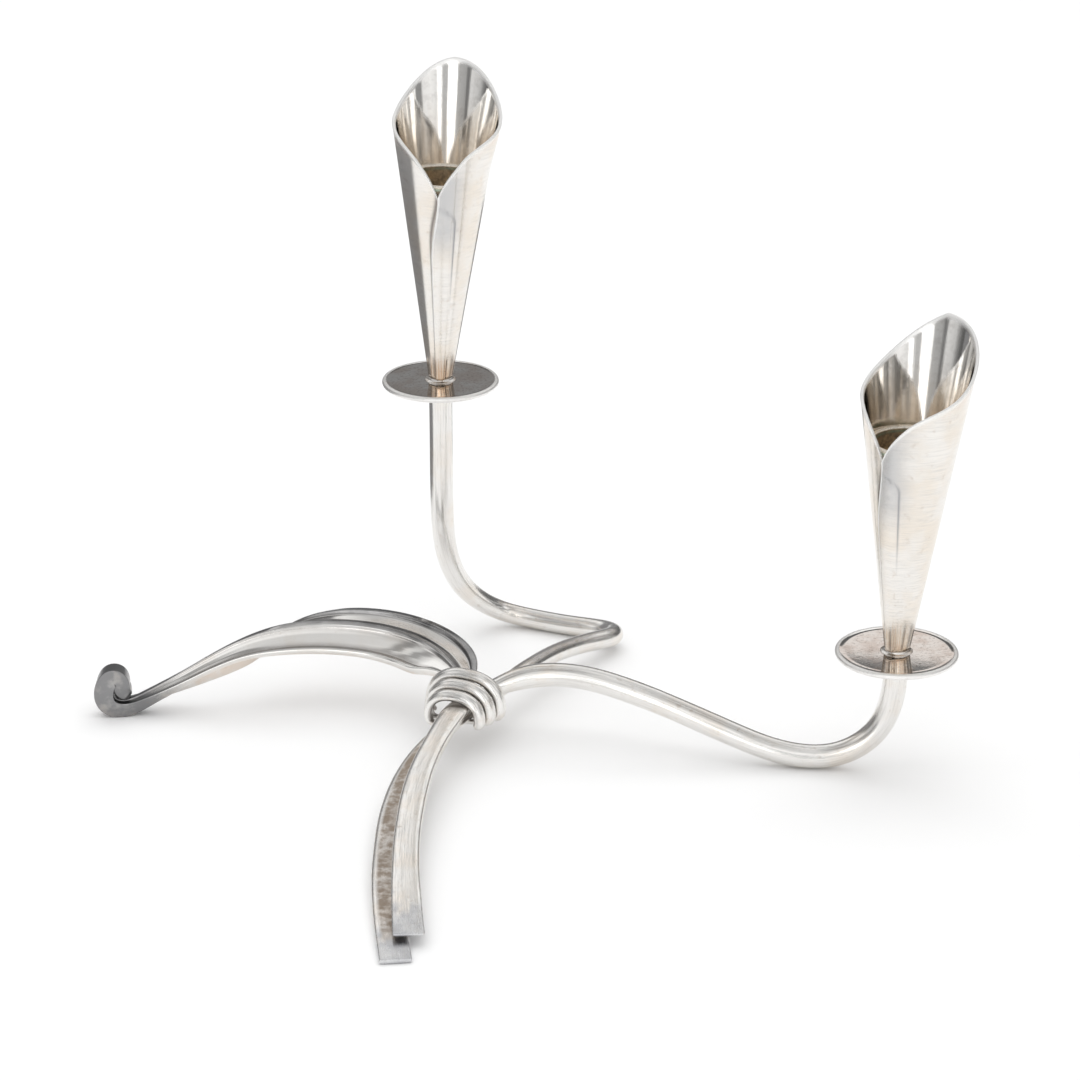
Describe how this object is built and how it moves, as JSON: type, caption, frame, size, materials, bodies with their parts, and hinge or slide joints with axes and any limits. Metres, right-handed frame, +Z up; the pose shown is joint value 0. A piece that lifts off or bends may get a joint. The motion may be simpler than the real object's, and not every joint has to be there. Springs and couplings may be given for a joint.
{
  "type": "candlestick",
  "caption": "Floral candlestick: two forged stems and a fluted leaf bound together, each stem ending in a round drip pan and a calla-shaped cup with a candle socket.",
  "frame": {"origin": "on the table, under the middle of the object's bounding box", "axes": "+Z up, +X towards the lower cup on the right, +Y towards the taller cup at the rear; the tails of the stems point towards -Y"},
  "size_m": [0.2435, 0.2138, 0.1754],
  "materials": {
    "stem_metal": "forged silver plate, brushed lengthwise, lightly worn",
    "leaf_metal": "polished silver plate",
    "binding_metal": "polished silver plate with dark grooves",
    "pan_metal": "silver plate, mottled with brown tarnish",
    "collar_metal": "soldered silver plate",
    "cup_metal": "silver plate, satin outside and mirror-polished inside",
    "fixing_metal": "plain turned metal, hidden",
    "socket_metal": "worn plate with brown and greenish tarnish"
  },
  "bodies": {
    "root": {"right_stem": "stem_metal", "rear_stem": "stem_metal", "leaf": "leaf_metal", "knot_binding": "binding_metal", "drip_pan_right": "pan_metal", "drip_pan_rear": "pan_metal", "cup_collar_right": "collar_metal", "cup_collar_rear": "collar_metal", "cup_right": "cup_metal", "cup_rear": "cup_metal", "cup_plug_right": "fixing_metal", "cup_plug_rear": "fixing_metal", "cup_pin_right": "fixing_metal", "cup_pin_rear": "fixing_metal", "candle_socket_right": "socket_metal", "candle_socket_rear": "socket_metal"}
  },
  "joints": []
}
